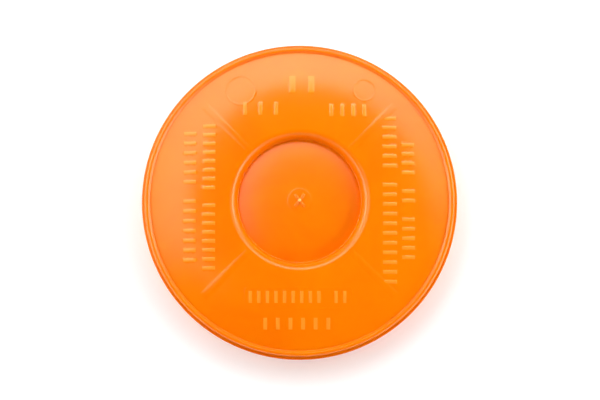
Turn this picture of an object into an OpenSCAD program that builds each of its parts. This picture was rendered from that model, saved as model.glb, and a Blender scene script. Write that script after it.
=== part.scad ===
// Buried disk marker: a flat welded housing of two moulded shells, closed for good
// around a tuned ring coil and its capacitor. It lies in a trench on its flat base,
// and a locator above the ground finds the coil.
// The ground face is z = 0, the axis of the disk is Z, and -Y is the front.

/* [Housing] */
// Widest diameter, across the welded flange
marker_d = 127; // [122:0.5:140]
// Height of the welded joint above the ground face
joint_h = 10.5; // [10:0.25:12]
// Height of the raised rim's crest above the ground face
rim_h = 15.5; // [15:0.25:18]
// Wall thickness of both shells
wall = 2.2; // [1.8:0.1:2.4]
// Lean of both shells' side walls, in degrees
draft = 3; // [0.5:0.5:6]
// Rounding between the base's side wall and the ground face
base_corner_r = 2.6; // [1:0.2:4]

/* [Flange and rim] */
// Thickness of each shell's half of the flange
flange_t = 1.1; // [0.8:0.1:1.4]
// Width by which the flange stands out from the side walls
flange_w = 1.3; // [1:0.1:2]
// Rounding of the flange's outer edges
flange_edge_r = 0.4; // [0.2:0.1:0.5]
// Rounding between the flange and the side walls
flange_root_r = 0.3; // [0.1:0.1:0.4]
// Width of the rim's flat crest
crest_w = 0.1; // [0.1:0.1:0.8]
// Height of the rim above the bottom of the groove beside it
rim_rise = 1.1; // [0.9:0.1:1.4]
// Slope of the rim's inner side, in degrees
rim_lean = 43; // [35:1:50]
// Rounding of the rim's two upper edges
rim_r = 0.6; // [0.3:0.1:0.8]
// Rounding in the groove beside the rim
groove_r = 0.2; // [0.1:0.1:0.6]
// Slope of the face's shoulder where it meets the groove, in degrees
groove_slope = 24; // [20:1:30]
// Rounding of the shoulder, over which the face turns down into the groove
shoulder_r = 6; // [4:0.5:8]

/* [Weld joint] */
// Thickness of the base's upright weld tongue
tongue_t = 1.1; // [0.9:0.1:1.4]
// Height of the weld tongue above the joint
tongue_h = 2.4; // [1.5:0.1:2.6]
// Thickness of the cover's skirt inside the tongue
skirt_t = 1.3; // [1:0.1:1.8]
// Depth of the skirt below the joint
skirt_drop = 1.2; // [0.5:0.1:1.6]
// Gap on each side of the tongue
joint_gap = 0.15; // [0.1:0.05:0.25]

/* [Domed face] */
// Rise of the face from the rim's groove to the edge of the recess
crown = 5.1; // [4:0.1:6]
// Slope of the face where it meets the edge of the recess, in degrees
inner_slope = 2.5; // [1:0.5:6]
// Slope of the face where it meets its shoulder, in degrees
outer_slope = 15; // [8:1:18]

/* [Recess] */
// Diameter of the central recess at its wall
recess_d = 49.8; // [46:0.2:52]
// Depth of the recess, from its edge to the foot of its wall
recess_depth = 4.5; // [4.2:0.1:5.2]
// Rounding of the recess's upper edge
recess_edge_r = 3.3; // [2.6:0.1:3.4]
// Rounding at the foot of the recess's wall
recess_foot_r = 0.5; // [0.4:0.1:0.8]
// Rise of the recess's domed floor at its middle
floor_rise = 2.4; // [1:0.1:3.2]

/* [Spokes] */
// Width of each spoke at its inner end
spoke_inner_w = 1.6; // [1.2:0.1:2.4]
// Width of each spoke at its outer end
spoke_outer_w = 2.6; // [1.6:0.1:3.2]
// Height of each spoke above the face
spoke_h = 0.25; // [0.15:0.05:0.5]
// Width by which the spokes, and the ribs under them, reach over the winding
spoke_reach = 2.3; // [1:0.1:3]
// Thickness of the hold-down rib under each spoke
rib_t = 1.5; // [1.2:0.1:2]
// Depth of the ribs below the cover's inner face
rib_depth = 3; // [2:0.1:4]

/* [Gate marks] */
// Diameter of the round well around each moulding gate
gate_well_d = 9.2; // [8:0.2:12]
// Depth of the wells
gate_well_depth = 0.35; // [0.2:0.05:0.6]
// Length of the crossed ribs in the cover's well
gate_rib_l = 6.6; // [5:0.2:7.4]
// Width of the crossed ribs
gate_rib_w = 0.8; // [0.6:0.1:1.2]
// Height of the crossed ribs above the bottom of the well
gate_rib_h = 0.3; // [0.15:0.05:0.5]
// Diameter of the trimmed gate itself
gate_pip_d = 1.4; // [1:0.1:2]
// Height of the trimmed gate above the crossed ribs
gate_pip_h = 0.2; // [0.1:0.05:0.4]

/* [Hub] */
// Outer diameter of the welded hub under the recess
hub_d = 42; // [38:0.5:44]

/* [Coil] */
// Radial width of the winding
coil_w = 6; // [5:0.1:6.4]
// Height of the winding
coil_h = 4.6; // [4:0.1:5]
// Rounding of the winding's corners
coil_corner_r = 0.9; // [0.4:0.1:1.4]
// Space between the winding and the base's side wall, at the joint
coil_margin = 2.6; // [2.2:0.1:3.4]
// Height of the seats that lift the winding off the base's floor
seat_h = 1.2; // [0.8:0.1:1.6]
// Thickness of the seats, fingers and gussets around the winding
seat_t = 1.4; // [1:0.1:1.8]
// Arc that each finger covers, in degrees
finger_arc = 8; // [5:1:14]
// Height of the fingers above the winding
finger_over = 0.6; // [0.2:0.1:1]
// Gap between the winding and the mouldings beside and above it
coil_gap = 0.25; // [0.2:0.05:0.4]
// Width of each binding tape
tape_w = 8; // [5:0.5:12]
// Thickness of the binding tapes
tape_t = 0.25; // [0.1:0.05:0.4]

/* [Capacitor] */
// Length of the capacitor, across the lead pair
cap_l = 18; // [16:0.5:20]
// Height of the capacitor, which lies on its side pointing outwards
cap_reach = 13; // [11:0.5:13.5]
// Thickness of the capacitor
cap_t = 7; // [5.5:0.1:7.2]
// Rounding of the capacitor's corners
cap_corner_r = 0.6; // [0.3:0.1:1]
// Distance between the two leads
lead_pitch = 15; // [12:0.5:15.5]
// Length of wire from the capacitor to the winding
lead_run = 9.4; // [8.5:0.1:12]
// Diameter of the leads
lead_d = 0.8; // [0.6:0.1:1]
// Diameter of the winding's enamelled wire
wire_d = 0.6; // [0.4:0.05:0.7]
// Outer diameter of the splice sleeves
sleeve_d = 2.4; // [2:0.1:3]
// Length of the splice sleeves
sleeve_l = 5.5; // [4:0.5:6]
// Depth to which the winding's ends reach past the middle of the sleeves
splice_lap = 0.5; // [0.2:0.1:1]
// Thickness of the cradle's two cheeks
cheek_t = 1.3; // [1:0.1:2]
// Height of the cheeks above the base's floor
cheek_h = 5; // [3:0.5:6]
// Length of the cheeks
cheek_l = 9; // [6:0.5:11]
// Gap between the capacitor and its cheeks
cheek_gap = 0.2; // [0.1:0.05:0.3]

/* [Hidden] */
$fn = 96;

spoke_angles = [45, 135, 225, 315];
seat_angles = [for (i = [0:7]) 22.5 + 45 * i];
tape_angles = [0, 90, 180, 270];
capacitor_angle = 180;
overlap = 0.4;          // what is moulded in one piece runs this far into its neighbour
cut_past = 1;           // cuts run this far past the face that they open
blend = 1;              // a domed curve's points keep this far from the rounding beside it

flange_r = marker_d / 2;
wall_r = flange_r - flange_w;
base_inner_r = wall_r - wall;
tongue_outer_r = base_inner_r + tongue_t;
skirt_outer_r = base_inner_r - joint_gap;
skirt_inner_r = skirt_outer_r - skirt_t;
groove_top_z = joint_h + tongue_h + joint_gap;

rim_outer_r = wall_r - (rim_h - rim_r - joint_h - flange_t) * tan(draft);
crest_outer_r = rim_outer_r - rim_r;
crest_inner_r = crest_outer_r - crest_w;
groove_z = rim_h - rim_rise;

// The rim's inner side is a straight slope between two roundings, and the shoulder beyond the
// groove is an arc that ends in the face
side_run = (rim_rise - (rim_r + groove_r) * (1 - cos(rim_lean))) / tan(rim_lean);
groove_centre = [crest_inner_r - (rim_r + groove_r) * sin(rim_lean) - side_run, groove_z + groove_r];
shoulder_centre = groove_centre - (groove_r + shoulder_r) * [sin(groove_slope), cos(groove_slope)];

recess_r = recess_d / 2;
edge_z = groove_z + crown;
edge_centre = [recess_r + recess_edge_r, edge_z - recess_edge_r];
foot_z = edge_z - recess_depth;
foot_centre = [recess_r - recess_foot_r, foot_z + recess_foot_r];
floor_r = foot_centre[0];
floor_z = foot_z + floor_rise;
pot_r = recess_r + wall;
pot_under_z = foot_z - wall;

// The face runs between these two points of the section, on the roundings at its ends
face_inner = edge_centre + recess_edge_r * [sin(inner_slope), cos(inner_slope)];
face_outer = shoulder_centre + shoulder_r * [sin(outer_slope), cos(outer_slope)];

hub_r = hub_d / 2;
well_r = gate_well_d / 2;

coil_outer_r = base_inner_r - coil_margin;
coil_inner_r = coil_outer_r - coil_w;
coil_z = wall + seat_h;
coil_top_z = coil_z + coil_h;
finger_r = coil_inner_r - coil_gap;

tail_end_r = sqrt(pow(coil_inner_r, 2) - pow(lead_pitch / 2, 2));
cap_out_r = tail_end_r - lead_run;
cap_in_r = cap_out_r - cap_reach;
lead_z = wall + cap_t / 2;
splice_r = cap_out_r + lead_run / 2;
spoke_end_r = coil_inner_r + spoke_reach;

// Points along an arc of the section, which lies in the plane of radius and height
function arc(centre, r, from, to, steps = 6) =
    [for (i = [0:steps]) let (a = from + (to - from) * i / steps) centre + r * [cos(a), sin(a)]];

// Height of the domed face at radius r: a cubic that has both ends' heights and slopes
function face_height(r) =
    let (
        run = face_outer[0] - face_inner[0],
        fall = face_outer[1] - face_inner[1],
        t = (r - face_inner[0]) / run,
        start = -tan(inner_slope) * run,
        end = -tan(outer_slope) * run
    )
    face_inner[1] + t * start + t * t * (3 * fall - 2 * start - end) + t * t * t * (start + end - 2 * fall);

// Height of the recess's domed floor at radius r
function floor_height(r) = floor_z - floor_rise * pow(r / floor_r, 2);

// The face between two radii, as points of the section, lowered by drop
function face_points(from, to, drop = 0, steps = 10) =
    [for (i = [0:steps]) let (r = from + (to - from) * i / steps) [r, face_height(r) - drop]];

function floor_points(from, to, drop = 0, steps = 6) =
    [for (i = [0:steps]) let (r = from + (to - from) * i / steps) [r, floor_height(r) - drop]];

// Puts its children at a radius and an angle, turned to point outwards
module at(r, angle) {
    rotate([0, 0, angle]) translate([r, 0, 0]) children();
}

// A flat plate that stands on edge along a radius, cut to a profile of radius and height
module radial_plate(profile, thickness) {
    rotate([90, 0, 0]) translate([0, 0, -thickness / 2]) linear_extrude(thickness) polygon(profile);
}

// The cover's upper skin, from the flange in to the axis
cover_skin = concat(
    [[flange_r, joint_h]],
    arc([flange_r - flange_edge_r, joint_h + flange_t - flange_edge_r], flange_edge_r, 0, 90, 3),
    arc([wall_r + flange_root_r, joint_h + flange_t + flange_root_r], flange_root_r, 270, 180, 3),
    arc([crest_outer_r, rim_h - rim_r], rim_r, 0, 90),
    arc([crest_inner_r, rim_h - rim_r], rim_r, 90, 90 + rim_lean),
    arc(groove_centre, groove_r, rim_lean - 90, -90 - groove_slope, 4),
    arc(shoulder_centre, shoulder_r, 90 - groove_slope, 90 - outer_slope, 2),
    face_points(face_outer[0] - blend, face_inner[0] + blend),
    arc(edge_centre, recess_edge_r, 90 - inner_slope, 180, 9),
    arc(foot_centre, recess_foot_r, 0, -90, 5),
    floor_points(floor_r - blend, 0)
);

// The cover's lower skin, from the axis out to the flange
cover_under = concat(
    floor_points(0, floor_r - blend, wall),
    arc(foot_centre, recess_foot_r + wall, -90, 0, 6),
    arc(edge_centre, recess_edge_r - wall, 180, 90, 4),
    face_points(face_inner[0] + blend, skirt_inner_r, wall),
    [
        [skirt_inner_r, joint_h - skirt_drop],
        [skirt_outer_r - overlap, joint_h - skirt_drop],
        [skirt_outer_r, joint_h - skirt_drop + overlap],
        [skirt_outer_r, groove_top_z],
        [tongue_outer_r + joint_gap, groove_top_z],
        [tongue_outer_r + joint_gap, joint_h]
    ]
);

// One raised spoke, which widens outwards and follows the face at a constant height above it
module spoke() {
    spoke_skin = concat(
        face_points(face_inner[0], spoke_end_r, -spoke_h),
        face_points(spoke_end_r, face_inner[0], overlap)
    );
    intersection() {
        rotate_extrude() polygon(spoke_skin);
        linear_extrude(edge_z + spoke_h) polygon([
            [face_inner[0] - overlap, -spoke_inner_w / 2],
            [spoke_end_r + overlap, -spoke_outer_w / 2],
            [spoke_end_r + overlap, spoke_outer_w / 2],
            [face_inner[0] - overlap, spoke_inner_w / 2]
        ]);
    }
}

// The rib under a spoke: it stiffens the face, and its outer end holds the winding down
module hold_down_rib() {
    rib_top = wall - overlap;
    end_z = coil_top_z + coil_gap;
    radial_plate(concat(
        face_points(face_inner[0], spoke_end_r, rib_top, 6),
        [
            [spoke_end_r, end_z],
            [finger_r + coil_gap, end_z],
            [finger_r - 2 * rib_depth, face_height(finger_r) - wall - rib_depth],
            [pot_r - overlap, face_height(finger_r) - wall - rib_depth],
            [pot_r - overlap, edge_z - recess_edge_r]
        ]
    ), rib_t);
}

// The gate mark in the middle of the recess: a round well, crossed ribs and the trimmed gate
module cover_gate(well_z) {
    for (angle = [45, 135]) {
        rotate([0, 0, angle]) translate([-gate_rib_l / 2, -gate_rib_w / 2, well_z - overlap])
            cube([gate_rib_l, gate_rib_w, gate_rib_h + overlap]);
    }
    translate([0, 0, well_z - overlap]) cylinder(d = gate_pip_d, h = overlap + gate_rib_h + gate_pip_h);
}

// Upper shell: domed face, raised rim, central recess, and the half of the weld joint
// that takes the base's tongue
module cover() {
    well_z = floor_height(well_r) - gate_well_depth;
    color("darkorange") union() {
        difference() {
            rotate_extrude() polygon(concat(cover_skin, cover_under));
            translate([0, 0, well_z]) cylinder(d = gate_well_d, h = floor_rise + gate_well_depth);
        }
        cover_gate(well_z);
        for (angle = spoke_angles) {
            rotate([0, 0, angle]) {
                spoke();
                hold_down_rib();
            }
        }
        // Land that is welded to the base's hub
        difference() {
            translate([0, 0, pot_under_z]) cylinder(r = hub_r, h = overlap + wall / 2);
            translate([0, 0, pot_under_z - cut_past]) cylinder(r = hub_r - wall, h = wall + 2 * cut_past);
        }
    }
}

// The base's section, from the axis out along the ground face and back over the floor
base_bottom_r = wall_r - (joint_h - flange_t) * tan(draft);
base_floor_r = base_inner_r - (joint_h - wall) * tan(draft);
base_section = concat(
    [[0, 0]],
    arc([base_bottom_r - base_corner_r, base_corner_r], base_corner_r, -90, 0),
    arc([wall_r + flange_root_r, joint_h - flange_t - flange_root_r], flange_root_r, 180, 90, 3),
    arc([flange_r - flange_edge_r, joint_h - flange_t + flange_edge_r], flange_edge_r, -90, 0, 3),
    [
        [flange_r, joint_h],
        [tongue_outer_r, joint_h],
        [tongue_outer_r, joint_h + tongue_h - overlap],
        [tongue_outer_r - overlap, joint_h + tongue_h],
        [base_inner_r, joint_h + tongue_h],
        [base_inner_r, joint_h]
    ],
    arc([base_floor_r - seat_h, wall + seat_h], seat_h, 0, -90, 4),
    [[0, wall]]
);

// One place where the winding is held: a seat under it, a finger inside it, a gusset outside it
module coil_seat() {
    finger_top = coil_top_z + finger_over;
    gusset_r = coil_outer_r + coil_gap;
    radial_plate([
        [finger_r - seat_t / 2, wall - overlap],
        [base_floor_r, wall - overlap],
        [base_inner_r + overlap / 2, coil_top_z],
        [gusset_r + seat_t / 2, coil_top_z],
        [gusset_r, coil_top_z - seat_t],
        [gusset_r, coil_z],
        [finger_r - seat_t / 2, coil_z]
    ], seat_t);
    rotate([0, 0, -finger_arc / 2]) rotate_extrude(angle = finger_arc)
        polygon([
            [finger_r - seat_t, wall - overlap],
            [finger_r, wall - overlap],
            [finger_r, finger_top - seat_t / 2],
            [finger_r - seat_t / 2, finger_top],
            [finger_r - seat_t, finger_top]
        ]);
}

// Two cheeks that grip the ends of the capacitor
module capacitor_cradle() {
    for (side = [-1, 1]) {
        at(cap_in_r + (cap_reach - cheek_l) / 2, capacitor_angle)
            translate([0, side * (cap_l / 2 + cheek_gap + cheek_t / 2) - cheek_t / 2, wall - overlap])
                cube([cheek_l, cheek_t, cheek_h + overlap]);
    }
}

// Lower shell: the pan that carries the winding, with the weld tongue on its wall
module base() {
    color("darkorange") union() {
        difference() {
            rotate_extrude() polygon(base_section);
            translate([0, 0, -cut_past]) cylinder(d = gate_well_d, h = gate_well_depth + cut_past);
        }
        // Hub that carries the middle of the cover
        difference() {
            translate([0, 0, wall - overlap]) cylinder(r = hub_r, h = pot_under_z - wall + overlap);
            translate([0, 0, wall - 2 * overlap]) cylinder(r = hub_r - wall, h = pot_under_z);
        }
        for (angle = seat_angles) {
            rotate([0, 0, angle]) coil_seat();
        }
        capacitor_cradle();
    }
}

// The winding's section, grown by a margin
module coil_section(margin = 0) {
    r = coil_corner_r + margin;
    low = [coil_inner_r - margin, coil_z - margin];
    high = [coil_outer_r + margin, coil_top_z + margin];
    polygon(concat(
        arc([high[0] - r, high[1] - r], r, 0, 90, 4),
        arc([low[0] + r, high[1] - r], r, 90, 180, 4),
        arc([low[0] + r, low[1] + r], r, 180, 270, 4),
        arc([high[0] - r, low[1] + r], r, 270, 360, 4)
    ));
}

// Winding of enamelled copper wire, bound into one stiff ring
module coil() {
    color("peru") rotate_extrude() coil_section();
}

// Tapes that bind the winding at the quarters
module coil_tapes() {
    tape_arc = tape_w / coil_outer_r * 180 / PI;
    color("khaki") for (angle = tape_angles) {
        rotate([0, 0, angle - tape_arc / 2]) rotate_extrude(angle = tape_arc)
            difference() {
                coil_section(tape_t);
                coil_section();
            }
    }
}

// Film capacitor that tunes the coil, lying on its side on the base's floor
module capacitor() {
    half = cap_l / 2 - cap_corner_r;
    low = cap_in_r + cap_corner_r;
    high = cap_out_r - cap_corner_r;
    color("gold") rotate([0, 0, capacitor_angle]) translate([0, 0, wall]) linear_extrude(cap_t)
        polygon(concat(
            arc([high, half], cap_corner_r, 0, 90, 3),
            arc([low, half], cap_corner_r, 90, 180, 3),
            arc([low, -half], cap_corner_r, 180, 270, 3),
            arc([high, -half], cap_corner_r, 270, 360, 3)
        ));
}

// A round rod or hole along a radius, beside the capacitor's centre line
module radial_rod(from, to, side, d) {
    rotate([0, 0, capacitor_angle]) translate([from, side * lead_pitch / 2, lead_z])
        rotate([0, 90, 0]) cylinder(d = d, h = to - from, $fn = 32);
}

// Tinned leads of the capacitor, which end inside the splice sleeves
module capacitor_leads() {
    color("silver") for (side = [-1, 1]) radial_rod(cap_out_r, splice_r, side, lead_d);
}

// The two ends of the winding's wire, from the splice sleeves to the winding
module coil_tails() {
    color("peru") for (side = [-1, 1]) {
        difference() {
            radial_rod(splice_r, coil_inner_r, side, wire_d);
            translate([0, 0, coil_z]) difference() {
                cylinder(r = coil_outer_r, h = coil_h);
                translate([0, 0, -cut_past]) cylinder(r = coil_inner_r, h = coil_h + 2 * cut_past);
            }
        }
    }
}

// Insulating sleeves over the two soldered splices
module splice_sleeves() {
    from = splice_r - sleeve_l / 2;
    to = splice_r + sleeve_l / 2;
    color("dimgray") for (side = [-1, 1]) {
        difference() {
            radial_rod(from, to, side, sleeve_d);
            radial_rod(from - cut_past, splice_r, side, lead_d);
            radial_rod(splice_r - splice_lap, to + cut_past, side, wire_d);
        }
    }
}

cover();
base();
coil();
coil_tapes();
capacitor();
capacitor_leads();
coil_tails();
splice_sleeves();
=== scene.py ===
from math import ceil, cos, hypot, pi, radians, sin, tan

import bmesh
import bpy
from mathutils import Matrix, Vector


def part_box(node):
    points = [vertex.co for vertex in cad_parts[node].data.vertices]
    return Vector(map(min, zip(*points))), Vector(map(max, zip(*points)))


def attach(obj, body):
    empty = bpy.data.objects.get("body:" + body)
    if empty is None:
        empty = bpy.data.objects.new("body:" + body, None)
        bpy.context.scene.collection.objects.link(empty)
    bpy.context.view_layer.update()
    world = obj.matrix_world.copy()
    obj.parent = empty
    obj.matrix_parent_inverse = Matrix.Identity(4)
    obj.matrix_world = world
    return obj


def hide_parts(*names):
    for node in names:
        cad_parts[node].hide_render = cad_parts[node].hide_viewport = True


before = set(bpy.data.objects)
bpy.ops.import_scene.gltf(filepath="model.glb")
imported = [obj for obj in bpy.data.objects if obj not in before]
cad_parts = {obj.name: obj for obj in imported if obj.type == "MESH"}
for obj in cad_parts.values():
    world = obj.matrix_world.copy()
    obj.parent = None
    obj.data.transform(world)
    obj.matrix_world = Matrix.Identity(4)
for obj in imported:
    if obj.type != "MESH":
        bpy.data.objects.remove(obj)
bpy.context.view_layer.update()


# Cover
# The cover is the upper of two shells, injection moulded in orange polyethylene. Its domed
# face falls from a round recess in the middle to a groove and a raised rim, and its skirt
# is welded to the base for good.
mm = 0.001

# Walls, flange and weld joint, in millimetres as all sizes of the disk
wall, draft = 2.2, radians(3)
flange_r, flange_w, flange_t, flange_edge_r, flange_root_r = 63.5, 1.3, 1.1, 0.4, 0.3
wall_r = flange_r - flange_w
joint_z, joint_gap, corner_cut = 10.5, 0.15, 0.4
tongue_t, tongue_h, skirt_t, skirt_drop = 1.1, 2.4, 1.3, 1.2

# Rim, groove, domed face and recess
rim_z, rim_edge_r, rim_inner_r, crest_w, rim_lean = 15.5, 0.9, 0.4, 0.3, radians(43)
groove_z, groove_r, groove_slope, shoulder_r = 14.7, 0.2, radians(24), 6
inner_slope, outer_slope = radians(2.5), radians(15)
edge_z, edge_r, lip_r, under_lip_r = 19.5, 3.5, 28.7, 1.1
recess_r, recess_draft, under_foot_r = 24.9, radians(12), 0.5
foot_z, foot_r, floor_rise = 14.3, 0.25, 2.65
land_z, land_rise = 15.0, 2.4
pad_r, pad_t = 4.6, 0.12

# Spokes, hub and the winding under the cover
spoke_in, spoke_out = lip_r, 53.7
hub_out, coil_gap, overlap = 21, 0.25, 0.4
coil_corner = [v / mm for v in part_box("coil")[1]]
coil_out, coil_top = coil_corner[0], coil_corner[2]
coil_w = 6
coil_in = coil_out - coil_w
finger_r = coil_in - coil_gap

# Corners and centres of the cover's section, each worked out from its neighbours
crest_out = wall_r - (rim_z - rim_edge_r - joint_z - flange_t) * tan(draft) - rim_edge_r
crest_in = crest_out - crest_w
side_run = (rim_z - groove_z - (rim_inner_r + groove_r) * (1 - cos(rim_lean))) / tan(rim_lean)
groove_centre = (crest_in - (rim_inner_r + groove_r) * sin(rim_lean) - side_run, groove_z + groove_r)
shoulder_centre = (groove_centre[0] - (groove_r + shoulder_r) * sin(groove_slope),
                   groove_centre[1] - (groove_r + shoulder_r) * cos(groove_slope))
edge_centre = (lip_r, edge_z - edge_r)
wall_top = (lip_r - edge_r * cos(recess_draft), edge_centre[1] + edge_r * sin(recess_draft))
wall_low = foot_z + foot_r * (1 - sin(recess_draft))
foot_centre = (wall_top[0] - (wall_top[1] - wall_low) * tan(recess_draft) - foot_r * cos(recess_draft),
               foot_z + foot_r)
face_in = (edge_centre[0] + edge_r * sin(inner_slope), edge_centre[1] + edge_r * cos(inner_slope))
face_out = (shoulder_centre[0] + shoulder_r * sin(outer_slope),
            shoulder_centre[1] + shoulder_r * cos(outer_slope))


def between(start, end, steps):
    """Evenly spaced values from start to end, with both of them."""
    return [start + (end - start) * i / steps for i in range(steps + 1)]


def arc(centre, radius, start, end, steps):
    """Points on an arc of the section, with its angles in radians."""
    return [(centre[0] + radius * cos(a), centre[1] + radius * sin(a)) for a in between(start, end, steps)]


def face_height(r):
    """Height of the domed face at a radius, as a cubic with both ends' heights and slopes."""
    run, fall = face_out[0] - face_in[0], face_out[1] - face_in[1]
    t = (r - face_in[0]) / run
    start, end = -tan(inner_slope) * run, -tan(outer_slope) * run
    return face_in[1] + t * start + t * t * (3 * fall - 2 * start - end) + t ** 3 * (start + end - 2 * fall)


def floor_height(r):
    """Height of the recess's floor at a radius. It is domed too, so that water runs off it."""
    return foot_z + floor_rise * (1 - (r / foot_centre[0]) ** 2)


def land_height(r):
    """Height of the underside of the recess's floor at a radius."""
    return land_z - wall + land_rise * (1 - (r / foot_centre[0]) ** 2)


def new_piece(name, mesh):
    """Makes an object of a bmesh, with its outside facing outwards."""
    bmesh.ops.recalc_face_normals(mesh, faces=mesh.faces)
    data = bpy.data.meshes.new(name)
    mesh.to_mesh(data)
    mesh.free()
    piece = bpy.data.objects.new(name, data)
    bpy.context.scene.collection.objects.link(piece)
    return piece


def turned(name, section, turns=360):
    """A solid turned about the disk's axis from a closed section of radius and height."""
    mesh = bmesh.new()
    rings = []
    for r, z in section:
        count = 1 if r < 1e-6 else turns
        rings.append([
            mesh.verts.new((r * mm * cos(2 * pi * i / turns), r * mm * sin(2 * pi * i / turns), z * mm))
            for i in range(count)
        ])
    for ring, following in zip(rings, rings[1:] + rings[:1]):
        if len(ring) == len(following) == 1:
            continue
        for i in range(turns):
            corners = [ring[i % len(ring)], ring[(i + 1) % len(ring)],
                       following[(i + 1) % len(following)], following[i % len(following)]]
            mesh.faces.new(list(dict.fromkeys(corners)))
    return new_piece(name, mesh)


def swept(name, section, start, end, steps=6):
    """A solid turned from a closed section through a part of a circle, in radians."""
    mesh = bmesh.new()
    rings = [[mesh.verts.new((r * mm * cos(a), r * mm * sin(a), z * mm)) for r, z in section]
             for a in between(start, end, steps)]
    for ring, following in zip(rings, rings[1:]):
        for i in range(len(section)):
            j = (i + 1) % len(section)
            mesh.faces.new((ring[i], ring[j], following[j], following[i]))
    mesh.faces.new(rings[0])
    mesh.faces.new(rings[-1])
    return new_piece(name, mesh)


def upright(name, profile, thickness, angle):
    """A plate that stands on edge along a radius, cut to a profile of radius and height."""
    mesh = bmesh.new()
    sides = []
    for side in (-thickness / 2, thickness / 2):
        places = [(r * cos(angle) - side * sin(angle), r * sin(angle) + side * cos(angle), z)
                  for r, z in profile]
        sides.append([mesh.verts.new((x * mm, y * mm, z * mm)) for x, y, z in places])
        mesh.faces.new(sides[-1])
    for i in range(len(profile)):
        j = (i + 1) % len(profile)
        mesh.faces.new((sides[0][i], sides[0][j], sides[1][j], sides[1][i]))
    return new_piece(name, mesh)


def fuse(piece, extra):
    """Makes extra one with the piece, as both come out of one mould."""
    modifier = piece.modifiers.new("fuse", "BOOLEAN")
    modifier.operation, modifier.solver, modifier.object = "UNION", "MANIFOLD", extra
    bpy.context.view_layer.update()
    fused = bpy.data.meshes.new_from_object(piece.evaluated_get(bpy.context.evaluated_depsgraph_get()))
    piece.modifiers.clear()
    piece.data = fused
    piece.data.materials.clear()
    bpy.data.objects.remove(extra)


def soften(piece, crease=radians(32)):
    """Shades a moulding smooth, apart from its real edges."""
    piece.data.shade_smooth()
    piece.data.set_sharp_from_angle(angle=crease)


# The section starts at the joint and runs over the flange, the rim and the face to the axis
flange_top, root_r = joint_z + flange_t, wall_r + flange_root_r
cover_section = [(flange_r, joint_z)]
cover_section += arc((flange_r - flange_edge_r, flange_top - flange_edge_r), flange_edge_r, 0, pi / 2, 5)
cover_section += [(root_r, flange_top)]
cover_section += arc((root_r, flange_top + flange_root_r), flange_root_r, -pi / 2, -pi, 4)[1:]
cover_section += arc((crest_out, rim_z - rim_edge_r), rim_edge_r, 0, pi / 2, 9)
cover_section += arc((crest_in, rim_z - rim_inner_r), rim_inner_r, pi / 2, pi / 2 + rim_lean, 7)
cover_section += arc(groove_centre, groove_r, rim_lean - pi / 2, -pi / 2 - groove_slope, 8)
cover_section += arc(shoulder_centre, shoulder_r, pi / 2 - groove_slope, pi / 2 - outer_slope, 5)[1:]
cover_section += [(r, face_height(r)) for r in between(face_out[0], face_in[0], 30)[1:-1]]
cover_section += arc(edge_centre, edge_r, pi / 2 - inner_slope, pi - recess_draft, 16)
cover_section += arc(foot_centre, foot_r, -recess_draft, -pi / 2, 8)
floor_out, floor_in = foot_centre[0] - 0.6, pad_r + 0.5
cover_section += [(r, floor_height(r)) for r in between(floor_out, floor_in, 14)]

# The gate's pad has a soft edge, given as steps outwards and upwards from its rim
pad_z = floor_height(pad_r) + pad_t
pad_edge = [(0.2, -0.09), (0, -0.04), (-0.3, 0)]
cover_section += [(pad_r + out, pad_z + up) for out, up in pad_edge] + [(0, pad_z)]

# The section runs back under the face and down the skirt, and ends in the slot over the tongue
skirt_out = wall_r - wall - joint_gap
skirt_in, skirt_low = skirt_out - skirt_t, joint_z - skirt_drop
slot_out, slot_top = wall_r - wall + tongue_t + joint_gap, joint_z + tongue_h + joint_gap
cover_section += [(r, land_height(r)) for r in between(0, foot_centre[0] - 1, 5)]
cover_section += arc((recess_r - under_foot_r, land_z + under_foot_r), under_foot_r + wall, -pi / 2, 0, 5)
cover_section += arc((lip_r, edge_z - wall - under_lip_r), under_lip_r, pi, pi / 2, 4)
cover_section += [(r, face_height(r) - wall) for r in between(face_in[0] + 1, skirt_in, 10)]
cover_section += [(skirt_in, skirt_low), (skirt_out - corner_cut, skirt_low),
                  (skirt_out, skirt_low + corner_cut), (skirt_out, slot_top), (slot_out, slot_top),
                  (slot_out, joint_z)]
cover = turned("cover_shell", cover_section)


def face_at(x, y):
    """Height of the face at a place."""
    return face_height(hypot(x, y))


def pad_at(x, y):
    """Height of the gate's pad, the same all over it."""
    return pad_z


# Bars and ridges run this far down into the moulding
bar_root, ridge_root = 0.5, 0.4


def raised_bars(name, bars, profile, ground=face_at, spacing=1.2, tone=0.0):
    """Raised bars that lie on the moulding and follow its curve. Each bar is (x, y, angle, length,
    first width, last width); the profile is (outward offset, height) from the crown to the foot.
    The tone says how much painted glow the bars get on their raised faces, from 0 to 1: a lighter colour that
    stands in for light on them."""
    mesh = bmesh.new()
    # The raised faces of the bars carry a painted glow, a lighter colour in place of the light on them
    painted_glow = mesh.faces.layers.float.new("painted_glow")
    for x0, y0, angle, length, first_w, last_w in bars:
        steps = max(2, ceil(length / spacing))

        def ring(offset, height):
            outline = [(a, -1) for a in between(-1, 1, steps)] + [(a, 1) for a in between(1, -1, steps)]
            points = []
            for along, side in outline:
                u = along * (length / 2 + offset)
                half = first_w / 2 + (last_w - first_w) / 2 * (along + 1) / 2 + offset
                x = x0 + u * cos(angle) - side * half * sin(angle)
                y = y0 + u * sin(angle) + side * half * cos(angle)
                points.append(mesh.verts.new((x * mm, y * mm, (ground(x, y) + height) * mm)))
            return points

        rings = [ring(offset, height) for offset, height in profile]
        rings.append(ring(profile[-1][0], -bar_root))
        count = len(rings[0])
        for upper, lower in zip(rings, rings[1:]):
            for i in range(count):
                flank = mesh.faces.new((upper[i], upper[(i + 1) % count], lower[(i + 1) % count], lower[i]))
                flank[painted_glow] = tone if upper is not rings[-2] else 0.0
        for cap in (rings[0], rings[-1]):
            for i in range(steps):
                top = mesh.faces.new((cap[i], cap[i + 1], cap[count - 2 - i], cap[count - 1 - i]))
                top[painted_glow] = tone
    return new_piece(name, mesh)


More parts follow.
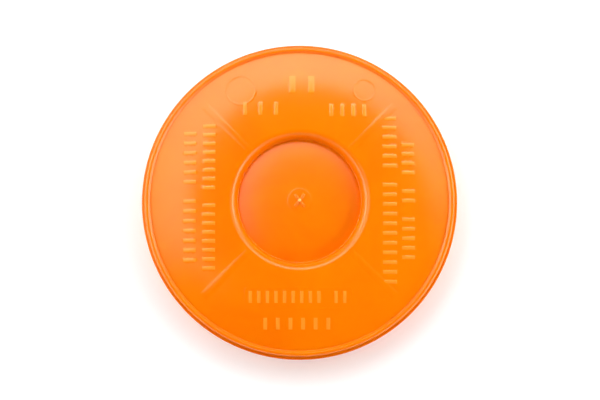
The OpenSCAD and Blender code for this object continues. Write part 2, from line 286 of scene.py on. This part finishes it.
# The spokes stand over the ribs that hold the winding down, a little wider at the rim
quarters = [radians(a) for a in (45, 135, 225, 315)]
spoke_mid, spoke_l = (spoke_in + spoke_out) / 2, spoke_out - spoke_in
spoke_inner_w, spoke_outer_w = 1.6, 2.6
spoke_profile = [(-0.7, 0.16), (-0.4, 0.14), (0, 0.08), (0.4, 0.02), (0.7, -0.02)]
spokes = [(spoke_mid * cos(a), spoke_mid * sin(a), a, spoke_l, spoke_inner_w, spoke_outer_w)
          for a in quarters]
fuse(cover, raised_bars("spokes", spokes, spoke_profile))

rib_t, rib_depth = 1.5, 3
rib_in, rib_low = recess_r + wall - overlap, face_height(finger_r) - wall - rib_depth
rib_profile = [(r, face_height(r) - wall + overlap) for r in between(spoke_in, spoke_out, 6)]
rib_profile += [(spoke_out, coil_top + coil_gap), (coil_in, coil_top + coil_gap),
                (finger_r - 2 * rib_depth, rib_low), (rib_in, rib_low), (rib_in, edge_z - edge_r)]
for angle in quarters:
    fuse(cover, upright("hold_down_rib", rib_profile, rib_t, angle))


def hub_ring(name, low, high):
    """A stretch of the round hub, between two heights."""
    hub_in = hub_out - wall
    return turned(name, [(hub_out, low), (hub_out, high), (hub_in, high), (hub_in, low)], 180)


# The land under the recess is welded to the base's hub
hub_top = land_z - wall
fuse(cover, hub_ring("hub_land", hub_top, hub_top + wall / 2 + overlap))


def raised_loop(name, path, width, height):
    """A low closed ridge on the face. Each point of the path is x, y and the way out of the loop."""
    mesh = bmesh.new()
    foot = -0.02
    section = [(-width / 2, -ridge_root), (-width / 2, foot), (-width / 6, height), (width / 6, height),
               (width / 2, foot), (width / 2, -ridge_root)]
    rings = []
    for x, y, out_x, out_y in path:
        places = [(x + offset * out_x, y + offset * out_y, z) for offset, z in section]
        rings.append([mesh.verts.new((u * mm, v * mm, (face_at(u, v) + z) * mm)) for u, v, z in places])
    for ring, following in zip(rings, rings[1:] + rings[:1]):
        for i in range(len(section)):
            j = (i + 1) % len(section)
            mesh.faces.new((ring[i], ring[j], following[j], following[i]))
    return new_piece(name, mesh)


def rounded_path(x0, x1, y0, y1, corner, spacing=2.0):
    """A rectangle's path with round corners, with points close enough to follow the face."""
    path = []
    centres = [(x1 - corner, y1 - corner), (x0 + corner, y1 - corner),
               (x0 + corner, y0 + corner), (x1 - corner, y0 + corner)]
    for i, (x, y) in enumerate(centres):
        for a in between(i * pi / 2, (i + 1) * pi / 2, 4):
            path.append((x + corner * cos(a), y + corner * sin(a), cos(a), sin(a)))
        u, v = centres[(i + 1) % 4]
        side = (cos((i + 1) * pi / 2), sin((i + 1) * pi / 2))
        steps = ceil(hypot(u - x, v - y) / spacing)
        for t in between(0, 1, steps)[1:-1]:
            path.append((x + (u - x) * t + corner * side[0], y + (v - y) * t + corner * side[1], *side))
    return path


# Witness lines that the mould's round ejector pads and its bar-shaped insert leave on the face
witness_w, witness_h = 0.6, 0.035
ejector_pads = ((-23.6, 44.2, 5.9), (26.0, 44.4, 4.4))
for x, y, r in ejector_pads:
    circle = [(x + r * cos(a), y + r * sin(a), cos(a), sin(a)) for a in between(0, 2 * pi, 48)[:-1]]
    fuse(cover, raised_loop("pad_witness", circle, witness_w, witness_h))
insert_outline = rounded_path(-21.6, 20.8, -43.0, -34.9, 0.8)
fuse(cover, raised_loop("insert_witness", insert_outline, witness_w, witness_h))


def tick_row(x, y, angle, height, pitch, words, stroke):
    """Ticks along a row that is centred on x, y and runs in the direction of the angle."""
    cells = sum(words) + len(words) - 1
    made, cell = [], 0
    for word in words:
        for i in range(word):
            u = (cell + 0.5 - cells / 2) * pitch
            middle = (x + u * cos(angle), y + u * sin(angle))
            made.append((*middle, angle + pi / 2, height - stroke, stroke, stroke))
            cell += 1
        cell += 1
    return made


# Rows of plain ticks stand where such a cover carries raised lettering. Each row is its middle,
# its direction, the height and pitch of its ticks, how many ticks each word has, and a tick's width.
tick_rows = [
    (0.9, 46.7, 0, 8.4, 7.6, [2], 2.0),
    (-15.6, 36.7, 0, 5.6, 6.2, [3], 1.0),
    (19.3, 36.0, 0, 5.4, 4.4, [4], 1.0),
    (-43.8, 1.4, pi / 2, 5.4, 3.9, [7, 6], 0.9),
    (-36.1, 1.3, pi / 2, 5.5, 3.55, [8, 8], 0.9),
    (35.9, 0.2, -pi / 2, 6.0, 3.85, [6, 11], 0.9),
    (43.3, -0.3, -pi / 2, 5.5, 3.75, [4, 2, 5], 0.9),
    (-0.8, -38.6, 0, 5.0, 3.4, [9, 2], 0.8),
    (-1.1, -49.1, 0, 5.1, 5.0, [6], 1.0),
]
ticks = [tick for row in tick_rows for tick in tick_row(*row)]
tick_profile = [(-0.15, 0.12), (0.0, 0.1), (0.15, 0.05), (0.3, -0.02)]
# The ticks get the full painted glow on their raised faces
fuse(cover, raised_bars("ticks", ticks, tick_profile, tone=1.0))

# The gate mark in the recess: two crossed ribs and the trimmed gate
gate_rib_l, gate_rib_w = 5.8, 0.7
gate_rib_profile = [(-0.25, 0.45), (-0.05, 0.38), (0.15, 0.2), (0.35, -0.05)]
for angle in (radians(52), radians(128)):
    gate_rib = [(0, 0, angle, gate_rib_l, gate_rib_w, gate_rib_w)]
    fuse(cover, raised_bars("gate_rib", gate_rib, gate_rib_profile, pad_at))

gate_r, gate_low, gate_centre = 0.8, pad_z - bar_root, pad_z + 0.1
gate_section = [(0, gate_low), (gate_r, gate_low), (gate_r, pad_z + 0.2)]
gate_section += arc((0, gate_centre), gate_r, 0.3, pi / 2, 6)[:-1] + [(0, gate_centre + gate_r)]
gate = turned("gate", gate_section, 32)
# Faces of the gate that look up carry a painted highlight
gate_highlight = gate.data.attributes.new("gate_highlight", "FLOAT", "FACE")
faces_up = 0.6
for face in gate.data.polygons:
    gate_highlight.data[face.index].value = 1.0 if face.normal.z > faces_up else 0.0
fuse(cover, gate)
soften(cover)


def linear(hex_colour):
    """A colour written as sRGB hex, as the linear values that the shader takes."""
    values = [int(hex_colour[i:i + 2], 16) / 255 for i in (1, 3, 5)]
    return [v / 12.92 if v <= 0.04045 else ((v + 0.055) / 1.055) ** 2.4 for v in values] + [1.0]


def add_node(material, kind, settings=(), **inputs):
    """Adds a node to the material: its settings by name, its inputs as values or as links."""
    made = material.node_tree.nodes.new("ShaderNode" + kind)
    for name, value in dict(settings).items():
        setattr(made, name, value)
    for name, value in inputs.items():
        socket = made.inputs[int(name[1:])] if name[0] == "_" else made.inputs[name.replace("_", " ")]
        if isinstance(value, bpy.types.NodeSocket):
            material.node_tree.links.new(value, socket)
        else:
            socket.default_value = value
    return made


def start_material(name):
    """A new material without nodes."""
    material = bpy.data.materials.new(name)
    material.use_nodes = True
    material.node_tree.nodes.clear()
    return material


# Polyethylene, injection moulded against a polished cavity: satin, waxy and a little
# translucent, with flow streaks from the gate and a faint orange-peel waviness.
polyethylene = start_material("moulded orange polyethylene")
place = add_node(polyethylene, "TexCoord").outputs["Object"]
flow = add_node(
    polyethylene, "TexNoise", Vector=place, Scale=1 / (28 * mm), Detail=3.0, Roughness=0.55, Distortion=0.6,
)
flow_colour = add_node(polyethylene, "ValToRGB", Fac=flow.outputs["Fac"])
flow_colour.color_ramp.elements[0].position, flow_colour.color_ramp.elements[0].color = 0.3, linear("#FC7600")
flow_colour.color_ramp.elements[1].position, flow_colour.color_ramp.elements[1].color = 0.7, linear("#FD8000")
# The raised ticks are painted lighter and yellower than the face: a painted glow and highlight that stands in
# for the light on the raised strokes
painted_glow = add_node(polyethylene, "Attribute", {"attribute_name": "painted_glow"}).outputs["Fac"]
body = add_node(
    polyethylene, "Mix", {"data_type": "RGBA"},
    _0=painted_glow, _6=flow_colour.outputs["Color"], _7=linear("#FF9426"),
)
# The gate's upward faces are painted pale: a painted highlight on the top of the gate
gate_highlight = add_node(polyethylene, "Attribute", {"attribute_name": "gate_highlight"}).outputs["Fac"]
body = add_node(
    polyethylene, "Mix", {"data_type": "RGBA"}, _0=gate_highlight, _6=body.outputs[2], _7=linear("#FFCB70"),
)
peel = add_node(polyethylene, "TexNoise", Vector=place, Scale=1 / (2.2 * mm), Detail=2.0, Roughness=0.5)
peel_bump = add_node(polyethylene, "Bump", Height=peel.outputs["Fac"], Strength=0.35, Distance=0.02 * mm)
handling = add_node(polyethylene, "TexNoise", Vector=place, Scale=1 / (9 * mm), Detail=4.0, Roughness=0.6)
# The mould's round insert, which forms the recess, is a little less polished than the rest
across = add_node(polyethylene, "VectorMath", {"operation": "MULTIPLY"}, _0=place, _1=(1, 1, 0))
from_axis = add_node(polyethylene, "VectorMath", {"operation": "LENGTH"}, _0=across.outputs[0])
insert_gloss = add_node(
    polyethylene, "MapRange", Value=from_axis.outputs["Value"],
    From_Min=23.6 * mm, From_Max=24.2 * mm, To_Min=0.07, To_Max=0.0,
)
gloss = add_node(polyethylene, "MapRange", Value=handling.outputs["Fac"], To_Min=0.14, To_Max=0.19)
gloss = add_node(
    polyethylene, "Math", {"operation": "ADD"}, _0=gloss.outputs["Result"], _1=insert_gloss.outputs["Result"],
)
shader = add_node(
    polyethylene, "BsdfPrincipled", Base_Color=body.outputs[2], Roughness=gloss.outputs[0],
    Normal=peel_bump.outputs["Normal"], IOR=1.54, Subsurface_Weight=0.25, Subsurface_Scale=2 * mm,
)
shader.inputs["Subsurface Radius"].default_value = (1.0, 0.6, 0.15)
shader.inputs["Specular Tint"].default_value = (1.0, 0.9, 0.7, 1.0)
add_node(polyethylene, "OutputMaterial", Surface=shader.outputs["BSDF"])

cover.data.materials.append(polyethylene)
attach(cover, "root")
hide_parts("cover")


# Base
# The base is the lower shell, moulded in the same polyethylene: a shallow pan with a flat
# ground face and leaning walls. It carries the winding on eight seats and ends in a tongue
# that is welded into the cover.
base_in, base_floor = wall_r - wall, wall - overlap
bottom_r = wall_r - (joint_z - flange_t) * tan(draft)
floor_edge_r = base_in - (joint_z - wall) * tan(draft)
bottom_well_r, bottom_well_depth = 4.6, 0.35
bottom_corner_r, floor_corner_r, base_root_r = 2.6, 1.2, 0.25
flange_low, tongue_out, tongue_top = joint_z - flange_t, base_in + tongue_t, joint_z + tongue_h
base_section = [(0, bottom_well_depth), (bottom_well_r - 0.1, bottom_well_depth), (bottom_well_r, 0)]
base_section += arc((bottom_r - bottom_corner_r, bottom_corner_r), bottom_corner_r, -pi / 2, 0, 12)
base_section += arc((wall_r + base_root_r, flange_low - base_root_r), base_root_r, pi, pi / 2, 4)
base_section += arc((flange_r - flange_edge_r, flange_low + flange_edge_r), flange_edge_r, -pi / 2, 0, 5)
base_section += [(flange_r, joint_z), (tongue_out, joint_z), (tongue_out, tongue_top - corner_cut),
                 (tongue_out - corner_cut, tongue_top), (base_in, tongue_top), (base_in, joint_z)]
base_section += arc((floor_edge_r - floor_corner_r, wall + floor_corner_r), floor_corner_r, 0, -pi / 2, 4)
base_section += [(0, wall)]
base = turned("base_pan", base_section)
fuse(base, hub_ring("hub", base_floor, hub_top))

# Eight seats carry the winding, each with a gusset outside it and a finger inside it
seat_t, finger_over, half_finger = 1.4, 0.6, radians(4)
coil_low, gusset_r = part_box("coil")[0][2] / mm, coil_out + coil_gap
finger_mid, finger_in, finger_top = finger_r - seat_t / 2, finger_r - seat_t, coil_top + finger_over
seat_profile = [(finger_mid, base_floor), (floor_edge_r, base_floor), (base_in + overlap / 2, coil_top),
                (gusset_r + seat_t / 2, coil_top), (gusset_r, coil_top - seat_t), (gusset_r, coil_low),
                (finger_mid, coil_low)]
finger_section = [(finger_in, base_floor), (finger_r, base_floor), (finger_r, finger_top - seat_t / 2),
                  (finger_mid, finger_top), (finger_in, finger_top)]
for i in range(8):
    angle = radians(22.5 + 45 * i)
    fuse(base, upright("seat", seat_profile, seat_t, angle))
    fuse(base, swept("finger", finger_section, angle - half_finger, angle + half_finger))

# Two cheeks grip the ends of the capacitor
capacitor_low, capacitor_high = [[v / mm for v in corner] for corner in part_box("capacitor")]
cheek_t, cheek_l, cheek_h, cheek_gap = 1.3, 9, 5, 0.2
cheek_in = -capacitor_high[0] + (capacitor_high[0] - capacitor_low[0] - cheek_l) / 2
cheek_out, cheek_top = cheek_in + cheek_l, wall + cheek_h
cheek_profile = [(cheek_in, base_floor), (cheek_out, base_floor), (cheek_out, cheek_top - corner_cut),
                 (cheek_out - corner_cut, cheek_top), (cheek_in + corner_cut, cheek_top),
                 (cheek_in, cheek_top - corner_cut)]
for side in (-1, 1):
    middle = side * (capacitor_high[1] + cheek_gap + cheek_t / 2)
    cheek = upright("cheek", cheek_profile, cheek_t, pi)
    cheek.data.transform(Matrix.Translation((0, middle * mm, 0)))
    fuse(base, cheek)
soften(base)
base.data.materials.append(polyethylene)
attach(base, "root")
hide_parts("base")


# Coil
# The winding is several hundred turns of enamelled copper wire, wound on a former and bonded
# into one stiff ring. Its wires lie side by side round the disk, under a clear amber enamel.
wire = 0.6 * mm
winding = start_material("wound enamelled copper")
place = add_node(winding, "TexCoord").outputs["Object"]
across = add_node(winding, "VectorMath", {"operation": "MULTIPLY"}, _0=place, _1=(1, 1, 0))
from_axis = add_node(winding, "VectorMath", {"operation": "LENGTH"}, _0=across.outputs[0]).outputs["Value"]
height = add_node(winding, "SeparateXYZ", Vector=place).outputs["Z"]
lay = add_node(winding, "TexNoise", Vector=place, Scale=1 / (14 * mm), Detail=2.0)
wander = add_node(winding, "Math", {"operation": "MULTIPLY"}, _0=lay.outputs["Fac"], _1=2.2)
rows = []
for way in (from_axis, height):
    count = add_node(
        winding, "Math", {"operation": "MULTIPLY_ADD"}, _0=way, _1=pi / wire, _2=wander.outputs[0],
    )
    wave = add_node(winding, "Math", {"operation": "SINE"}, _0=count.outputs[0])
    rows.append(add_node(winding, "Math", {"operation": "ABSOLUTE"}, _0=wave.outputs[0]).outputs[0])
strands = add_node(winding, "Math", {"operation": "ADD"}, _0=rows[0], _1=rows[1])
strand_bump = add_node(winding, "Bump", Height=strands.outputs[0], Strength=0.8, Distance=0.12 * mm)
enamel = add_node(winding, "ValToRGB", Fac=lay.outputs["Fac"])
enamel.color_ramp.elements[0].position, enamel.color_ramp.elements[0].color = 0.3, linear("#8A4620")
enamel.color_ramp.elements[1].position, enamel.color_ramp.elements[1].color = 0.7, linear("#B4652F")
shader = add_node(
    winding, "BsdfPrincipled", Base_Color=enamel.outputs["Color"], Metallic=1.0, Roughness=0.34,
    Normal=strand_bump.outputs["Normal"], Coat_Weight=0.8, Coat_Roughness=0.12, Coat_IOR=1.6,
)
add_node(winding, "OutputMaterial", Surface=shader.outputs["BSDF"])


def dress(node, material):
    """Gives a CAD node that stays as it is its material."""
    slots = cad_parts[node].data.materials
    slots.clear()
    slots.append(material)


dress("coil", winding)


# Coil tails
# The two ends of the winding's wire run from the splices to the winding. They are the same
# enamelled copper as single wires, with fine marks along them from the winding machine.
tail_wire = start_material("enamelled copper wire")
place = add_node(tail_wire, "TexCoord").outputs["Object"]
stretched = add_node(tail_wire, "Mapping", Vector=place, Scale=(0.08, 1.0, 1.0))
drawn = add_node(tail_wire, "TexNoise", Vector=stretched.outputs[0], Scale=1 / (0.12 * mm), Detail=3.0)
drawn_bump = add_node(tail_wire, "Bump", Height=drawn.outputs["Fac"], Strength=0.3, Distance=0.01 * mm)
drawn_gloss = add_node(tail_wire, "MapRange", Value=drawn.outputs["Fac"], To_Min=0.22, To_Max=0.38)
tone = add_node(tail_wire, "ValToRGB", Fac=drawn.outputs["Fac"])
tone.color_ramp.elements[0].color, tone.color_ramp.elements[1].color = linear("#9A5228"), linear("#B4652F")
shader = add_node(
    tail_wire, "BsdfPrincipled", Base_Color=tone.outputs["Color"], Metallic=1.0,
    Roughness=drawn_gloss.outputs["Result"], Normal=drawn_bump.outputs["Normal"],
    Coat_Weight=0.8, Coat_Roughness=0.1,
)
add_node(tail_wire, "OutputMaterial", Surface=shader.outputs["BSDF"])
dress("coil_tails", tail_wire)


# Coil tapes
# Four short wraps of amber polyester tape bind the winding. The film is thin and glossy, with
# soft wrinkles where it turns over the wires.
tape = start_material("amber polyester tape")
place = add_node(tape, "TexCoord").outputs["Object"]
wrinkles = add_node(tape, "TexNoise", Vector=place, Scale=1 / (1.6 * mm), Detail=3.0, Distortion=0.8)
wrinkle_bump = add_node(tape, "Bump", Height=wrinkles.outputs["Fac"], Strength=0.5, Distance=0.06 * mm)
film = add_node(tape, "ValToRGB", Fac=wrinkles.outputs["Fac"])
film.color_ramp.elements[0].color, film.color_ramp.elements[1].color = linear("#C8962E"), linear("#DDB44E")
film_gloss = add_node(tape, "MapRange", Value=wrinkles.outputs["Fac"], To_Min=0.18, To_Max=0.32)
shader = add_node(
    tape, "BsdfPrincipled", Base_Color=film.outputs["Color"], Roughness=film_gloss.outputs["Result"],
    Normal=wrinkle_bump.outputs["Normal"], IOR=1.6, Transmission_Weight=0.15,
)
add_node(tape, "OutputMaterial", Surface=shader.outputs["BSDF"])
dress("coil_tapes", tape)


# Capacitor
# The capacitor is a film type in a yellow moulded case, which lies on its side on the base's
# floor. The case has the fine spark-eroded texture of its mould.
case_plastic = start_material("spark-textured yellow case")
place = add_node(case_plastic, "TexCoord").outputs["Object"]
spark = add_node(case_plastic, "TexNoise", Vector=place, Scale=1 / (0.25 * mm), Detail=2.0, Roughness=0.7)
spark_bump = add_node(case_plastic, "Bump", Height=spark.outputs["Fac"], Strength=0.5, Distance=0.02 * mm)
blotches = add_node(case_plastic, "TexNoise", Vector=place, Scale=1 / (6 * mm), Detail=2.0)
yellow = add_node(case_plastic, "ValToRGB", Fac=blotches.outputs["Fac"])
yellow.color_ramp.elements[0].color = linear("#D2A431")
yellow.color_ramp.elements[1].color = linear("#DAB03E")
case_gloss = add_node(case_plastic, "MapRange", Value=spark.outputs["Fac"], To_Min=0.48, To_Max=0.6)
shader = add_node(
    case_plastic, "BsdfPrincipled", Base_Color=yellow.outputs["Color"],
    Roughness=case_gloss.outputs["Result"], Normal=spark_bump.outputs["Normal"], IOR=1.55,
)
add_node(case_plastic, "OutputMaterial", Surface=shader.outputs["BSDF"])
dress("capacitor", case_plastic)


# Capacitor leads
# Two leads of tinned copper-clad wire leave the capacitor. The tin is bright, with faint
# streaks along the wire and a few duller patches from soldering.
tinned = start_material("bright tinned wire")
place = add_node(tinned, "TexCoord").outputs["Object"]
stretched = add_node(tinned, "Mapping", Vector=place, Scale=(0.1, 1.0, 1.0))
streaks = add_node(tinned, "TexNoise", Vector=stretched.outputs[0], Scale=1 / (0.15 * mm), Detail=3.0)
streak_bump = add_node(tinned, "Bump", Height=streaks.outputs["Fac"], Strength=0.3, Distance=0.01 * mm)
patches = add_node(tinned, "TexNoise", Vector=place, Scale=1 / (1.5 * mm), Detail=2.0)
tin_gloss = add_node(tinned, "MapRange", Value=patches.outputs["Fac"], To_Min=0.2, To_Max=0.42)
tin = add_node(tinned, "ValToRGB", Fac=patches.outputs["Fac"])
tin.color_ramp.elements[0].color, tin.color_ramp.elements[1].color = linear("#D8D8D2"), linear("#C2C2BC")
shader = add_node(
    tinned, "BsdfPrincipled", Base_Color=tin.outputs["Color"], Metallic=1.0,
    Roughness=tin_gloss.outputs["Result"], Normal=streak_bump.outputs["Normal"],
)
add_node(tinned, "OutputMaterial", Surface=shader.outputs["BSDF"])
dress("capacitor_leads", tinned)


# Splice sleeves
# Two black sleeves of polyolefin are shrunk over the soldered splices. They are satin, with
# fine rings from extrusion and shallow dimples where they drew down.
shrunk_sleeve = start_material("shrunk black polyolefin")
place = add_node(shrunk_sleeve, "TexCoord").outputs["Object"]
rings = add_node(
    shrunk_sleeve, "TexWave", {"bands_direction": "X"}, Vector=place, Scale=1 / (2.5 * mm), Distortion=1.5,
)
dimples = add_node(shrunk_sleeve, "TexNoise", Vector=place, Scale=1 / (0.9 * mm), Detail=2.0)
surface = add_node(
    shrunk_sleeve, "Math", {"operation": "MULTIPLY_ADD"},
    _0=rings.outputs["Fac"], _1=0.3, _2=dimples.outputs["Fac"],
)
sleeve_bump = add_node(shrunk_sleeve, "Bump", Height=surface.outputs[0], Strength=0.4, Distance=0.05 * mm)
black = add_node(shrunk_sleeve, "ValToRGB", Fac=dimples.outputs["Fac"])
black.color_ramp.elements[0].color, black.color_ramp.elements[1].color = linear("#1B1B1C"), linear("#262627")
sleeve_gloss = add_node(shrunk_sleeve, "MapRange", Value=dimples.outputs["Fac"], To_Min=0.38, To_Max=0.52)
shader = add_node(
    shrunk_sleeve, "BsdfPrincipled", Base_Color=black.outputs["Color"],
    Roughness=sleeve_gloss.outputs["Result"], Normal=sleeve_bump.outputs["Normal"], IOR=1.49,
)
add_node(shrunk_sleeve, "OutputMaterial", Surface=shader.outputs["BSDF"])
dress("splice_sleeves", shrunk_sleeve)


# Studio
# A white floor that curves up into a backdrop, inside a light tent. The tent's lit roof is
# open round the camera and to the front, and it is brightest at the back. Its side walls are
# lit to the left and the right.

# Each row of the roof's lights is its azimuth, the tangent of the zenith angle where the lit cloth
# starts, and its brightness just inside its edge, a little farther in and at two reaches beyond.
roof_height, roof_reaches = 0.9, (0.95, 1.6)
roof_lights = [
    (-45, 0.60, 0.0, 0.0, 0.0, 0.0),
    (-28, 0.60, 0.0, 0.0, 0.1, 0.5),
    (-12, 0.58, 0.0, 0.1, 0.1, 0.3),
    (0, 0.55, 0.2, 0.5, 0.2, 0.3),
    (15, 0.54, 0.8, 1.6, 0.7, 0.5),
    (30, 0.54, 1.6, 2.5, 1.5, 1.0),
    (45, 0.54, 2.4, 3.0, 2.8, 2.0),
    (75, 0.55, 3.6, 4.3, 4.1, 2.2),
    (100, 0.54, 4.2, 4.5, 4.2, 2.2),
    (135, 0.44, 3.2, 3.4, 3.2, 2.6),
    (150, 0.41, 2.8, 3.2, 2.2, 1.2),
    (165, 0.38, 2.4, 2.7, 1.4, 0.6),
    (180, 0.37, 2.0, 2.5, 0.8, 0.4),
    (195, 0.36, 1.8, 1.3, 0.3, 0.3),
    (204, 0.35, 1.1, 0.2, 0.0, 0.1),
    (212, 0.34, 0.7, 0.0, 0.0, 0.0),
    (219, 0.35, 0.2, 0.0, 0.0, 0.0),
]


def lights_at(azimuth, rows):
    """The lights at an azimuth, on straight lines between the rows."""
    for first, last in zip(rows, rows[1:]):
        if first[0] <= azimuth <= last[0]:
            share = (azimuth - first[0]) / (last[0] - first[0])
            lights = [a + (b - a) * share for a, b in zip(first[1:], last[1:])]
    return lights


def lit_strip(name, azimuths, strip_section):
    """A strip of lit cloth. Its section gives the radius, height and glow of each row of points."""
    mesh = bmesh.new()
    brightness = mesh.verts.layers.float.new("brightness")
    rings = []
    for azimuth in azimuths:
        turn = radians(azimuth)
        ring = []
        for reach, height, glow in strip_section(azimuth):
            vertex = mesh.verts.new((reach * cos(turn), reach * sin(turn), height))
            vertex[brightness] = glow
            ring.append(vertex)
        rings.append(ring)
    for ring, following in zip(rings, rings[1:]):
        for i in range(len(ring) - 1):
            mesh.faces.new((ring[i], ring[i + 1], following[i + 1], following[i]))
    return new_piece(name, mesh)


def roof_section(azimuth):
    """The roof from its unlit edge outwards, at one height."""
    start, near, *glows = lights_at(azimuth, roof_lights)
    reaches = (start, start + 0.07, start + 0.16, *roof_reaches)
    return [(reach * roof_height, roof_height, glow) for reach, glow in zip(reaches, (0.0, near, *glows))]


tent_roof = lit_strip("tent_roof", range(-45, 220, 3), roof_section)

# Each row of the side walls' lights is its azimuth and its brightness at the top and below.
wall_reach = 0.95
wall_lights = [
    (-60, 2.0, 0.8), (-45, 4.5, 1.6), (-30, 8.0, 4.0), (-15, 9.0, 4.8), (20, 9.0, 4.8), (38, 6.5, 0.8),
    (50, 2.5, 0.0), (90, 1.0, 0.0), (120, 1.5, 0.0), (140, 4.8, 1.5), (155, 4.6, 4.6), (185, 4.6, 4.6),
    (198, 4.0, 3.0), (212, 2.6, 1.6), (235, 1.2, 0.6), (270, 1.0, 0.6), (300, 1.4, 0.7),
]


def wall_section(azimuth):
    """The side wall from its foot, which is dimmed by half, to its top."""
    top, low = lights_at(azimuth, wall_lights)
    return [(wall_reach, height, glow)
            for height, glow in ((0.05, low / 2), (0.2, low), (0.42, low), (0.56, top))]


tent_walls = lit_strip("tent_walls", range(-60, 301, 5), wall_section)
lit_cloth = start_material("lit tent cloth")
cloth_glow = add_node(lit_cloth, "Attribute", {"attribute_name": "brightness"}).outputs["Fac"]
glowing = add_node(lit_cloth, "Emission", Strength=cloth_glow)
add_node(lit_cloth, "OutputMaterial", Surface=glowing.outputs[0])
for cloth in (tent_roof, tent_walls):
    cloth.data.materials.append(lit_cloth)

world = bpy.data.worlds.new("studio_air")
bpy.context.scene.world = world
world.use_nodes = True
air = world.node_tree.nodes["Background"]
air.inputs["Color"].default_value = (1, 1, 1, 1)
air.inputs["Strength"].default_value = 0.015

# The floor is flat out to its curve, and the backdrop stands on the curve
flat_reach, curve_r, backdrop_top, sides = 2.0, 0.5, 1.6, 64
sweep_profile = [(0, 0), (0.3, 0), (1.0, 0), (flat_reach, 0)]
sweep_profile += [(flat_reach + curve_r * sin(radians(a)), curve_r - curve_r * cos(radians(a)))
                  for a in range(15, 91, 15)]
sweep_profile += [(flat_reach + curve_r, backdrop_top)]
sweep = bmesh.new()
rings = []
for r, z in sweep_profile:
    around = [2 * pi * i / sides for i in range(sides if r else 1)]
    rings.append([sweep.verts.new((r * cos(a), r * sin(a), z)) for a in around])
for ring, following in zip(rings, rings[1:]):
    for i in range(sides):
        corners = [ring[i % len(ring)], following[i], following[(i + 1) % sides], ring[(i + 1) % len(ring)]]
        sweep.faces.new(list(dict.fromkeys(corners)))
studio_floor = new_piece("studio_floor", sweep)
studio_floor.data.shade_smooth()
white_board = start_material("white floor board")
board_place = add_node(white_board, "TexCoord").outputs["Object"]
board_radius = add_node(white_board, "VectorMath", {"operation": "LENGTH"}, _0=board_place).outputs["Value"]
glow = add_node(
    white_board, "MapRange", Value=board_radius, From_Min=0.12, From_Max=0.5, To_Min=0.02, To_Max=1.0,
)
path = add_node(white_board, "LightPath")
# The board glows a little, and where the camera, a reflection or a clear piece sees it away from
# the object it is plain white. Near the object its face keeps the shadow.
seen = path.outputs["Is Camera Ray"]
for ray in ("Is Glossy Ray", "Is Transmission Ray"):
    seen = add_node(white_board, "Math", {"operation": "MAXIMUM"}, _0=seen, _1=path.outputs[ray]).outputs[0]
shown = add_node(white_board, "Math", {"operation": "MULTIPLY"}, _0=glow.outputs["Result"], _1=seen)
matt = add_node(white_board, "BsdfDiffuse", Color=(0.9, 0.9, 0.9, 1))
lit = add_node(white_board, "Math", {"operation": "ADD"}, _0=shown.outputs[0], _1=0.15)
light_up = add_node(white_board, "Emission", Strength=lit.outputs[0])
both = add_node(white_board, "AddShader", _0=matt.outputs[0], _1=light_up.outputs[0])
add_node(white_board, "OutputMaterial", Surface=both.outputs[0])
studio_floor.data.materials.append(white_board)

# The camera has the photograph's view. The disk's radius on the picture, in pixels, gives the lens.
distance, elevation = 0.635, radians(85)
target = Vector((0.2 * mm, 0.7 * mm, 10 * mm))
sensor_w, picture_w, disk_on_picture = 36, 600, 157.4
camera = bpy.data.objects.new("camera", bpy.data.cameras.new("camera"))
camera.location = target + distance * Vector((0, -cos(elevation), sin(elevation)))
camera.rotation_mode = "QUATERNION"
camera.rotation_quaternion = (camera.location - target).to_track_quat("Z", "Y")
camera.data.sensor_width = sensor_w
camera.data.lens = sensor_w * (disk_on_picture * distance / (flange_r * mm)) / picture_w
bpy.context.scene.collection.objects.link(camera)
bpy.context.scene.camera = camera
bpy.context.scene.view_settings.view_transform = "Standard"
